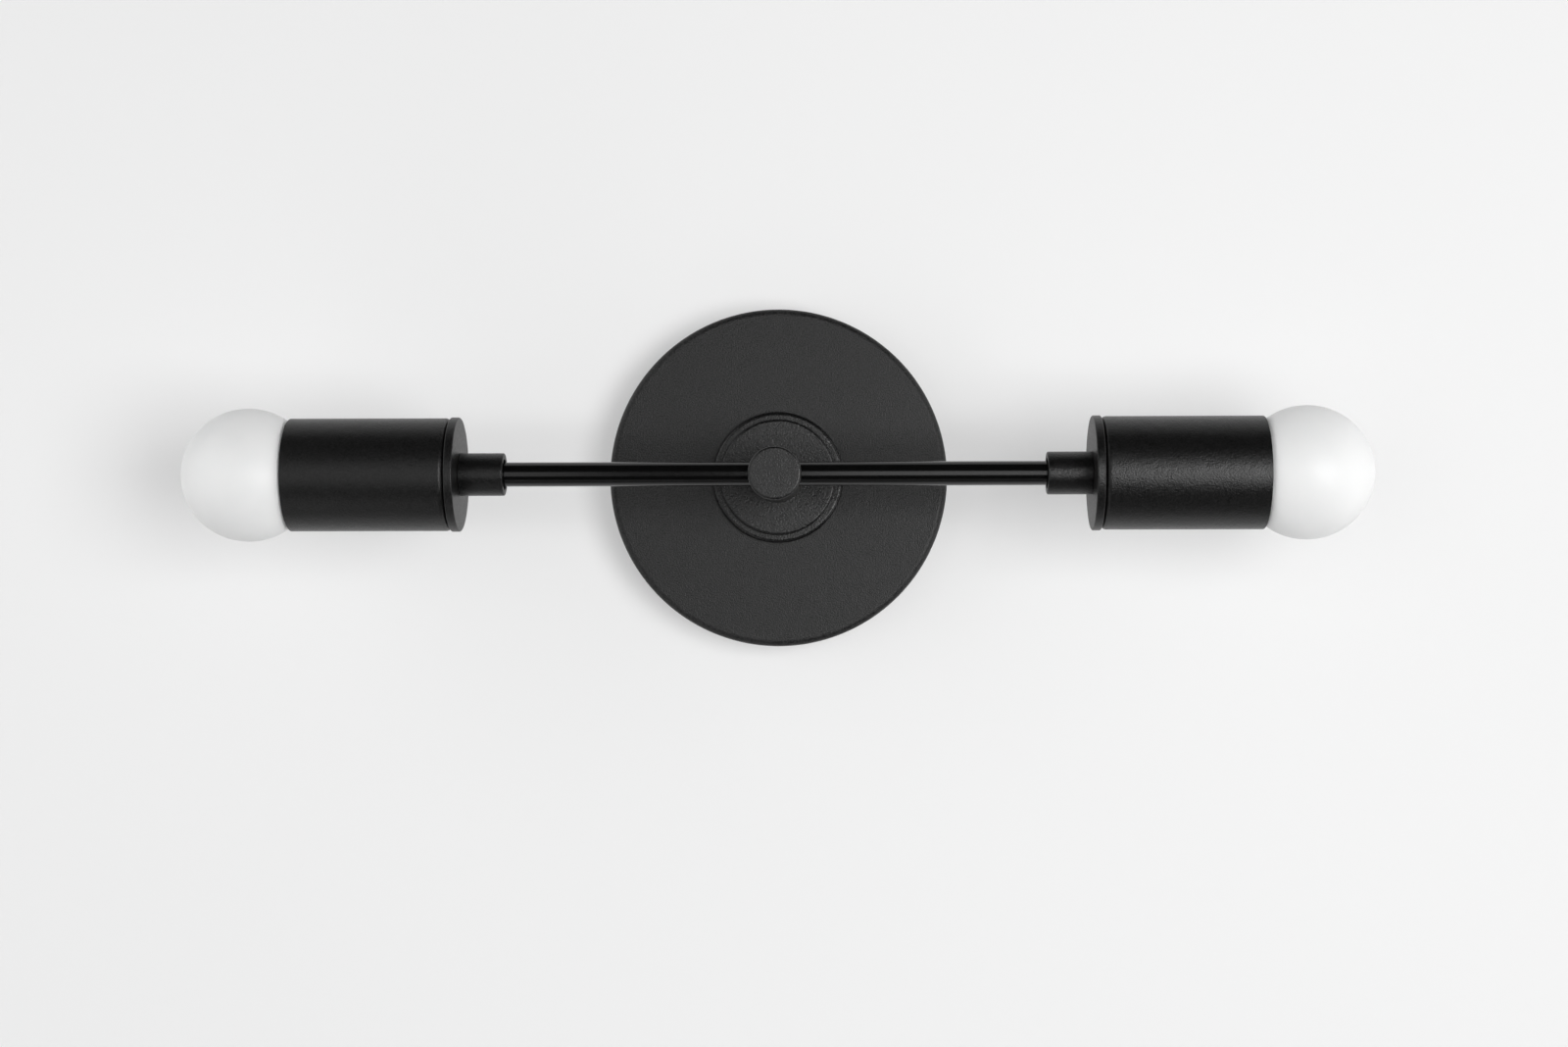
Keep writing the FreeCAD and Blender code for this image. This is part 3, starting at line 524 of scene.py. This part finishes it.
def makeCup(sideName, axis):
    # carried round the bar's axis: the flat bottom, the rounded corner, the straight wall and its
    # rim, and the same again inside, one wall's thickness in
    back, rim = alongBar("right_socket_cup")
    radius = halfSize("right_socket_cup")
    bore = radius - cup["wall"]
    floor = back + cup["wall"]
    rows = outlineRows([
        (back, cup["hole"]), (back, radius, cup["corner"]), (rim, radius, cup["rim"]),
        (rim, bore, cup["rim"]), (floor, bore, cup["corner"] - cup["wall"]), (floor, cup["hole"]),
        (back, cup["hole"])], cup["arcSteps"])
    standFor(turnedPiece(sideName + "Cup", rows, axis, cup["columns"]), sideName + "_socket_cup",
             cupCoat)


for sideName, side in sideSigns.items():
    makeArm(sideName, barAxis(side))
    makeCollar(sideName, barAxis(side))
    makeDisc(sideName, barAxis(side))
    makeCup(sideName, barAxis(side))
print("arms, collars, discs and cups made")

# Lamp pipe: running thread all along, bore open for the wires

pipe = {"pitch": 0.941 * mm, "depth": 0.42 * mm, "bore": 3.5 * mm, "lead": 0.5 * mm,
        "toothGain": 1.2, "toothSink": 0.1, "spareTurns": 2, "perTurn": 6, "columns": 56}


def makePipe(name, nodeName, ends, axis):
    # radius(s, t) = crest - depth * tooth(t / turn - s / pitch), chamfered at both ends, where
    # tooth(p) = gain * |2 p - 1| - sink, held between 0 and 1, so crests and roots are flat.
    # The rows climb one pitch a turn, so that they follow the thread, and stop at the end planes
    start, end = ends
    crest = halfSize(nodeName)
    turns = (end - start) / pipe["pitch"] + pipe["spareTurns"]
    rowCount = math.ceil(turns * pipe["perTurn"]) + 1
    row = np.arange(rowCount)[:, None]
    turn = np.linspace(0, 1, pipe["columns"], endpoint=False)
    along = np.clip(start + pipe["pitch"] * (row / pipe["perTurn"] + turn - 1), start, end)
    phase = (turn - (along - start) / pipe["pitch"]) % 1
    tooth = np.clip(pipe["toothGain"] * np.abs(2 * phase - 1) - pipe["toothSink"], 0, 1)
    inset = pipe["lead"] - np.minimum(np.minimum(along - start, end - along), pipe["lead"])
    radius = np.minimum(crest - pipe["depth"] * tooth, crest - inset)
    bore = np.full((1, pipe["columns"]), pipe["bore"])
    along = np.concatenate([start + 0 * bore, along, end + 0 * bore])
    radius = np.concatenate([bore, radius, bore])
    seamRows = np.minimum(np.arange(rowCount + 2) + pipe["perTurn"], rowCount)
    seamRows[[0, -1]] = 0, rowCount + 1
    points = aroundAxis(along, radius, axis, pipe["columns"])
    standFor(gridPiece(name, points, wrapRows=True, seamRows=seamRows), nodeName)


makePipe("mainPipe", "main_nipple", outOfWall("main_nipple"), wallAxis)
for sideName, side in sideSigns.items():
    makePipe(sideName + "CupPipe", sideName + "_cup_nipple", alongBar("right_cup_nipple"),
             barAxis(side))
print("lamp pipes threaded")

# Lamp thread of the screw shells and the bulbs' bases: radius + half the height * cos(t - turn)

lampThread = {"lead": 3.6286 * mm, "height": 0.8 * mm, "fade": 1.0 * mm, "perTurn": 16,
              "columns": 96}


def threadSurface(radius, share, along):
    # radius(s, t) = plain radius + share * height / 2 * cos(t - 2 pi s / lead)
    t = np.linspace(0, 2 * math.pi, lampThread["columns"], endpoint=False)
    wave = np.cos(t - 2 * math.pi * along[:, None] / lampThread["lead"])
    return radius[:, None] + share[:, None] * lampThread["height"] / 2 * wave


def threadRows(start, end):
    return np.linspace(start, end, math.ceil((end - start) / lampThread["lead"]
                                             * lampThread["perTurn"]) + 1)


def threadShare(along, first, last):
    fade = lampThread["fade"]
    return eased(along, first, fade) * eased(-along, -last, fade)


shell = {"wall": 0.4 * mm, "floor": 0.5 * mm, "floorHole": 5.2 * mm, "foot": 2.0 * mm,
         "mouth": 2.4 * mm, "flare": 0.3 * mm}


def makeShell(sideName, axis):
    # drawn brass cup: threaded wall, flared mouth, and a floor with a hole for the contact
    back, mouth = alongBar("right_screw_shell")
    first, last = back + shell["foot"], mouth - shell["mouth"]
    major = halfSize("right_screw_shell") - shell["wall"] - shell["flare"]

    def wallRows(start, thickness):
        along = threadRows(start, mouth)
        share = threadShare(along, first, last)
        plain = major - lampThread["height"] / 2 * share + shell["flare"] * eased(
            along, last, mouth - last)
        return along, threadSurface(plain + thickness, share, along)

    outAlong, outRadius = wallRows(back, shell["wall"])
    inAlong, inRadius = wallRows(back + shell["floor"], 0)
    holeRow = np.full((1, lampThread["columns"]), shell["floorHole"])
    along = np.concatenate([[back], outAlong, inAlong[::-1], [back + shell["floor"]]])
    radius = np.concatenate([holeRow, outRadius, inRadius[::-1], holeRow])
    points = aroundAxis(along[:, None] + 0 * radius, radius, axis, lampThread["columns"])
    standFor(gridPiece(sideName + "Shell", points, wrapRows=True), sideName + "_screw_shell")


base = {"wall": 0.3 * mm, "collar": 3.0 * mm, "collarInset": 0.15 * mm, "foot": 1.2 * mm,
        "footInset": 1.35 * mm, "crimps": 12, "crimpDepth": 0.12 * mm, "crimpWidth": 0.5,
        "crimpRunShare": 0.4}


def makeBase(sideName, axis):
    # thin aluminium cap: rolled thread, and a collar that is crimped to the glass neck
    start, top = alongBar("right_bulb_base")
    major = halfSize("right_bulb_base")
    minor = major - lampThread["height"]
    first = start + base["foot"]
    last = top - base["collar"] - lampThread["fade"]
    along = threadRows(start, top)
    share = threadShare(along, first, last)
    plain = (minor - base["footInset"] * eased(-along, -first, base["foot"])
             + (lampThread["height"] - base["collarInset"]) * eased(along, last,
                                                                   lampThread["fade"])
             + lampThread["height"] / 2 * share)
    outside = threadSurface(plain, share, along)
    inside = outside - base["wall"]
    # crimps(s, t) = depth * bell(s) * bell(t), small dents round the collar
    t = np.linspace(0, base["crimps"], lampThread["columns"], endpoint=False) % 1
    dentAround = eased(np.minimum(t, 1 - t), 0, base["crimpWidth"])
    middle = top - base["collar"] / 2
    dentAlong = 1 - eased(np.abs(along - middle), 0, base["collar"] * base["crimpRunShare"])
    dent = base["crimpDepth"] * dentAlong[:, None] * dentAround
    outside, inside = outside - dent, inside - dent
    rows = np.concatenate([along, along[::-1]])
    radius = np.concatenate([outside, inside[::-1]])
    points = aroundAxis(rows[:, None] + 0 * radius, radius, axis, lampThread["columns"])
    standFor(gridPiece(sideName + "Base", points, wrapRows=True), sideName + "_bulb_base")


for sideName, side in sideSigns.items():
    makeShell(sideName, barAxis(side))
    makeBase(sideName, barAxis(side))
print("screw shells and bulb bases threaded")

# Solder on the bulb's contact: a low dome, not quite even

solderDome = {"domeShare": 0.6, "ripple": 0.06 * mm, "waves": 3, "twist": 2, "rows": 18,
              "columns": 72}


def makeSolder(sideName, axis):
    # along(r, t) = face + dome share * thickness * (1 - sqrt(1 - r^2))
    # + ripple * r * (1 - r) * (1 + sin(waves * t + twist * r)), and a flat back closes it
    face, back = alongBar("right_bulb_contact")
    radius = halfSize("right_bulb_contact")
    share = np.sin(np.linspace(0, math.pi / 2, solderDome["rows"]))[:, None]
    t = np.linspace(0, 2 * math.pi, solderDome["columns"], endpoint=False)
    dome = face + (back - face) * solderDome["domeShare"] * (1 - np.sqrt(1 - share ** 2))
    swirl = 1 + np.sin(solderDome["waves"] * t + solderDome["twist"] * share)
    ripple = solderDome["ripple"] * share * (1 - share) * swirl
    along = np.concatenate([dome + ripple, np.full((2, solderDome["columns"]), back)])
    spread = np.concatenate([share * radius + 0 * t, np.full((1, len(t)), radius),
                             np.zeros((1, len(t)))])
    points = aroundAxis(along, spread, axis, solderDome["columns"])
    standFor(gridPiece(sideName + "Solder", points), sideName + "_bulb_contact")


# Globes: neck, fillet and sphere, each tangent to the next, and the same again inside the glass

globe = {"wall": 0.8 * mm, "fillet": 4.0 * mm, "neckInset": 0.6 * mm, "filletSteps": 10,
         "ballSteps": 72, "columns": 208}


def globeRows(start, centre, radius, neck, fillet):
    # the fillet turns about a point outside the neck that is radius + fillet from the centre;
    # the ball's angle runs from where it meets the fillet to the tip
    back = math.sqrt((radius + fillet) ** 2 - (neck + fillet) ** 2)
    slope = math.atan2(neck + fillet, back)
    turn = np.linspace(0, math.pi / 2 - slope, globe["filletSteps"])
    sweep = np.linspace(slope, math.pi, globe["ballSteps"])[1:]
    bend = np.stack([centre - back + fillet * np.sin(turn),
                     neck + fillet - fillet * np.cos(turn), -np.sin(turn), np.cos(turn)], 1)
    ball = np.stack([centre - radius * np.cos(sweep), radius * np.sin(sweep), -np.cos(sweep),
                     np.sin(sweep)], 1)
    ball[-1, 1] = 0
    return np.concatenate([[[start, neck, 0, 1]], bend, ball])


def makeGlobe(sideName, axis):
    # the inside's rows backwards, the mouth's flat edge and the outside's rows, carried round the
    # bar's axis
    start, tip = alongBar("right_bulb_globe")
    radius = halfSize("right_bulb_globe")
    neck = halfSize("right_bulb_base") - globe["neckInset"]
    wall = globe["wall"]
    outside = globeRows(start, tip - radius, radius, neck, globe["fillet"])
    inside = globeRows(start, tip - radius, radius - wall, neck - wall, globe["fillet"] + wall)
    inside[:, 2:] *= -1
    mouth = [[start, neck - wall, -1, 0], [start, neck, -1, 0]]
    rows = np.concatenate([inside[::-1], mouth, outside])
    standFor(turnedPiece(sideName + "Globe", rows, axis, globe["columns"]),
             sideName + "_bulb_globe")


# Filament: a fine coil that bows between the ends of two lead-in wires

coil = {"turns": 46, "perTurn": 14, "radius": 0.42 * mm, "wire": 0.07 * mm, "columns": 6,
        "bowRise": 6 * mm, "lean": 0.01, "leadWire": 0.35 * mm, "leadFoot": 1.7 * mm,
        "leadTip": 10 * mm, "leadSteps": 12, "leadColumns": 12}


def makeFilament(sideName, axis):
    # path(u) = bow(u) + radius * (cos(pi turns u) * spoke + sin(pi turns u) * direction), where
    # the bow is a parabola. Each lead-in runs straight, slanting from the stem to the coil's end
    origin, direction, spoke = axis
    start, tip = alongBar("right_bulb_filament")
    rise = tip - coil["bowRise"]
    bowDepth = tip - coil["radius"] - coil["wire"] - rise
    u = np.linspace(-1, 1, coil["turns"] * coil["perTurn"])
    angle = math.pi * coil["turns"] * u
    bow = rise + bowDepth * (1 - u ** 2)
    path = (origin + bow[:, None] * direction + (coil["leadTip"] * u)[:, None] * up
            + coil["radius"] * (np.cos(angle)[:, None] * spoke
                                + np.sin(angle)[:, None] * direction))
    wound = sweptPiece(sideName + "Filament", path, coil["wire"],
                       up + coil["lean"] * direction, coil["columns"])
    standFor(wound, sideName + "_bulb_filament")
    v = np.linspace(0, 1, coil["leadSteps"])
    for place, sign in (("Upper", 1), ("Lower", -1)):
        out = start + coil["leadWire"] + (rise - start) * v
        height = sign * (coil["leadFoot"] + (coil["leadTip"] - coil["leadFoot"]) * v)
        path = origin + out[:, None] * direction + height[:, None] * up
        lead = sweptPiece(sideName + place + "LeadIn", path, coil["leadWire"], spoke,
                          coil["leadColumns"])
        lead.data.materials.append(finishes["tungsten"])
        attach(lead, sideName + "_bulb")


for sideName, side in sideSigns.items():
    makeSolder(sideName, barAxis(side))
    makeGlobe(sideName, barAxis(side))
    makeFilament(sideName, barAxis(side))
print("bulbs made")

# Wall and floor. The wall stands just behind the pan's rim, and it isn't there for a view from
# behind: a ray passes it from the back, and after that from the front as well. Far out, from
# farFrom to farTo, the camera sees it turn into an even glow

stage = {"paint": 0.9, "paintRough": 0.9, "paintShine": 0.1, "floorGlow": 0.62,
         "floorMirrored": 0.18, "floorDrop": 4.5, "floorReach": 3.0, "wallGlow": 0.33,
         "wallShade": 0.64, "wallReach": 6.0, "wallGap": 0.4 * mm, "farFrom": 0.5,
         "farTo": 1.15, "farGlow": 0.93}


def addMath(nodes, links, operation, first, second):
    # second is another node's output or a plain number
    maths = nodes.new("ShaderNodeMath")
    maths.operation = operation
    maths.use_clamp = True
    links.new(first, maths.inputs[0])
    if isinstance(second, float):
        maths.inputs[1].default_value = second
    else:
        links.new(second, maths.inputs[1])
    return maths.outputs[0]


def stagePaint(name, glow, shade=1.0, mirrored=1.0):
    # Matt paint. For the camera it glows a little and takes only a share of the light and shade,
    # as a bright exposure shows it; mirror and glass rays get the mirrored share of that
    material, nodes, links, shader = newMaterial(name)
    rays = nodes.new("ShaderNodeLightPath")
    bounced = addMath(nodes, links, "MAXIMUM", rays.outputs["Is Glossy Ray"],
                      rays.outputs["Is Transmission Ray"])
    seen = addMath(nodes, links, "MAXIMUM", rays.outputs["Is Camera Ray"],
                   addMath(nodes, links, "MULTIPLY", bounced, mirrored))
    pale = stage["paint"]
    paint = nodes.new("ShaderNodeMix")
    paint.data_type = "RGBA"
    paint.inputs["A"].default_value = (pale, pale, pale, 1)
    paint.inputs["B"].default_value = (pale * shade, pale * shade, pale * shade, 1)
    links.new(seen, paint.inputs["Factor"])
    links.new(paint.outputs["Result"], shader.inputs["Base Color"])
    shader.inputs["Roughness"].default_value = stage["paintRough"]
    shader.inputs["Specular IOR Level"].default_value = stage["paintShine"]
    shader.inputs["Emission Color"].default_value = (1, 1, 1, 1)
    links.new(addMath(nodes, links, "MULTIPLY", seen, glow), shader.inputs["Emission Strength"])
    return material, nodes, links, shader


def makePlane(name, corners, material):
    mesh = bpy.data.meshes.new(name)
    mesh.from_pydata(corners, [], [(0, 1, 2, 3)])
    mesh.materials.append(material)
    plane = bpy.data.objects.new(name, mesh)
    bpy.context.scene.collection.objects.link(plane)


def makeFloor():
    reach, drop = stage["floorReach"], stage["floorDrop"]
    floorPaint = stagePaint("floorPaint", stage["floorGlow"], mirrored=stage["floorMirrored"])[0]
    makePlane("floor", [(-reach, -reach, -drop), (reach, -reach, -drop), (reach, reach, -drop),
                        (-reach, reach, -drop)], floorPaint)


def makeWall():
    # matt paint, then the even glow laid over it far out, and both clear from behind
    reach, drop, back = stage["wallReach"], stage["floorDrop"], stage["wallGap"]
    wallPaint, nodes, links, shader = stagePaint("wallPaint", stage["wallGlow"],
                                                stage["wallShade"])
    side = nodes.new("ShaderNodeNewGeometry")
    rays = nodes.new("ShaderNodeLightPath")
    coords = nodes.new("ShaderNodeTexCoord")
    distance = nodes.new("ShaderNodeVectorMath")
    distance.operation = "LENGTH"
    links.new(coords.outputs["Object"], distance.inputs[0])
    far = nodes.new("ShaderNodeMapRange")
    far.inputs["From Min"].default_value = stage["farFrom"]
    far.inputs["From Max"].default_value = stage["farTo"]
    links.new(distance.outputs["Value"], far.inputs["Value"])
    even = nodes.new("ShaderNodeEmission")
    even.inputs["Strength"].default_value = stage["farGlow"]
    clear = nodes.new("ShaderNodeBsdfTransparent")
    shares = [addMath(nodes, links, "MULTIPLY", far.outputs["Result"],
                      rays.outputs["Is Camera Ray"]),
              addMath(nodes, links, "MAXIMUM", side.outputs["Backfacing"],
                      rays.outputs["Transparent Depth"])]
    surface = shader
    for share, layer in zip(shares, (even, clear)):
        mix = nodes.new("ShaderNodeMixShader")
        links.new(share, mix.inputs["Fac"])
        links.new(surface.outputs[0], mix.inputs[1])
        links.new(layer.outputs[0], mix.inputs[2])
        surface = mix
    links.new(surface.outputs[0], nodes["Material Output"].inputs["Surface"])
    makePlane("wall", [(-reach, back, -drop), (reach, back, -drop), (reach, back, reach),
                       (-reach, back, reach)], wallPaint)


makeFloor()
makeWall()

# Soft panels that look at the post, all as far from it. Azimuth and height are where each one
# stands, in degrees to the right of the wall's normal and above the bar; wide and tall are the
# angles that it fills, and glow is its brightness, where white is 1
lamps = {
    "window": {"azimuth": 27, "height": -2, "wide": 26, "tall": 30, "glow": 8.6},
    "doorway": {"azimuth": 5, "height": 0, "wide": 12, "tall": 38, "glow": 1.9},
    "frontFill": {"azimuth": -24, "height": 0, "wide": 30, "tall": 40, "glow": 1.15},
    "lowFill": {"azimuth": -50, "height": -45, "wide": 24, "tall": 40, "glow": 0.9},
    "sideWindow": {"azimuth": 80, "height": 0, "wide": 16, "tall": 80, "glow": 2.6},
    "sideFill": {"azimuth": -70, "height": 12, "wide": 44, "tall": 70, "glow": 1.4},
}
lampDistance = 1.4


def makeLamps():
    centre = Vector((0, -barOut, 0))
    for name, lamp in lamps.items():
        azimuth, height = lamp["azimuth"] * degree, lamp["height"] * degree
        light = bpy.data.lights.new(name, "AREA")
        light.shape = "RECTANGLE"
        light.size = 2 * lampDistance * math.tan(lamp["wide"] * degree / 2)
        light.size_y = 2 * lampDistance * math.tan(lamp["tall"] * degree / 2)
        light.energy = lamp["glow"] * math.pi * light.size * light.size_y
        stand = bpy.data.objects.new(name, light)
        outward = Vector((math.sin(azimuth) * math.cos(height),
                          -math.cos(azimuth) * math.cos(height), math.sin(height)))
        stand.location = centre + lampDistance * outward
        stand.rotation_euler = outward.to_track_quat("Z", "Y").to_euler()
        bpy.context.scene.collection.objects.link(stand)


makeLamps()

room = {"front": 0.03, "behind": 0.9, "seen": 0.93, "blend": 0.1}


def makeRoom():
    # dim in front of the wall, white behind it, and plain white where the camera looks past both
    world = bpy.data.worlds.new("room")
    bpy.context.scene.world = world
    world.use_nodes = True
    nodes, links = world.node_tree.nodes, world.node_tree.links
    glow = nodes["Background"]
    coords = nodes.new("ShaderNodeTexCoord")
    split = nodes.new("ShaderNodeSeparateXYZ")
    depth = nodes.new("ShaderNodeMapRange")
    depth.interpolation_type = "SMOOTHSTEP"
    depth.inputs["From Min"].default_value = 0
    depth.inputs["From Max"].default_value = room["blend"]
    depth.inputs["To Min"].default_value = room["front"]
    depth.inputs["To Max"].default_value = room["behind"]
    links.new(coords.outputs["Generated"], split.inputs[0])
    links.new(split.outputs["Y"], depth.inputs["Value"])
    links.new(depth.outputs["Result"], glow.inputs["Strength"])
    glow.inputs["Color"].default_value = (1, 1, 1, 1)
    plain = nodes.new("ShaderNodeBackground")
    plain.inputs["Color"].default_value = (1, 1, 1, 1)
    plain.inputs["Strength"].default_value = room["seen"]
    rays = nodes.new("ShaderNodeLightPath")
    mix = nodes.new("ShaderNodeMixShader")
    links.new(rays.outputs["Is Camera Ray"], mix.inputs["Fac"])
    links.new(glow.outputs[0], mix.inputs[1])
    links.new(plain.outputs[0], mix.inputs[2])
    links.new(mix.outputs[0], nodes["World Output"].inputs["Surface"])


makeRoom()
print("stage, lamps and room made")

# The photo's camera: its focal length in pixels, and where lines square to the wall vanish

photo = {"width": 1600, "height": 1068, "focalPx": 2440, "vanishX": 854, "vanishY": 558.4,
         "standOff": 0.938, "toRight": 24.2 * mm, "below": 28.9 * mm, "roll": 0.12 * degree,
         "sensor": 36.0, "nearest": 10 * mm, "furthest": 50}


def makeCamera():
    lens = bpy.data.cameras.new("camera")
    lens.sensor_width = photo["sensor"]
    lens.lens = photo["focalPx"] * photo["sensor"] / photo["width"]
    lens.clip_start = photo["nearest"]
    lens.clip_end = photo["furthest"]
    camera = bpy.data.objects.new("camera", lens)
    camera.location = (photo["toRight"], -barOut - photo["standOff"], -photo["below"])
    yaw = math.atan((photo["vanishX"] - photo["width"] / 2) / photo["focalPx"])
    pitch = math.atan((photo["vanishY"] - photo["height"] / 2) / photo["focalPx"])
    camera.rotation_euler = (math.pi / 2 + pitch, photo["roll"], yaw)
    bpy.context.scene.collection.objects.link(camera)
    bpy.context.scene.camera = camera


makeCamera()
bpy.context.scene.view_settings.view_transform = "Standard"
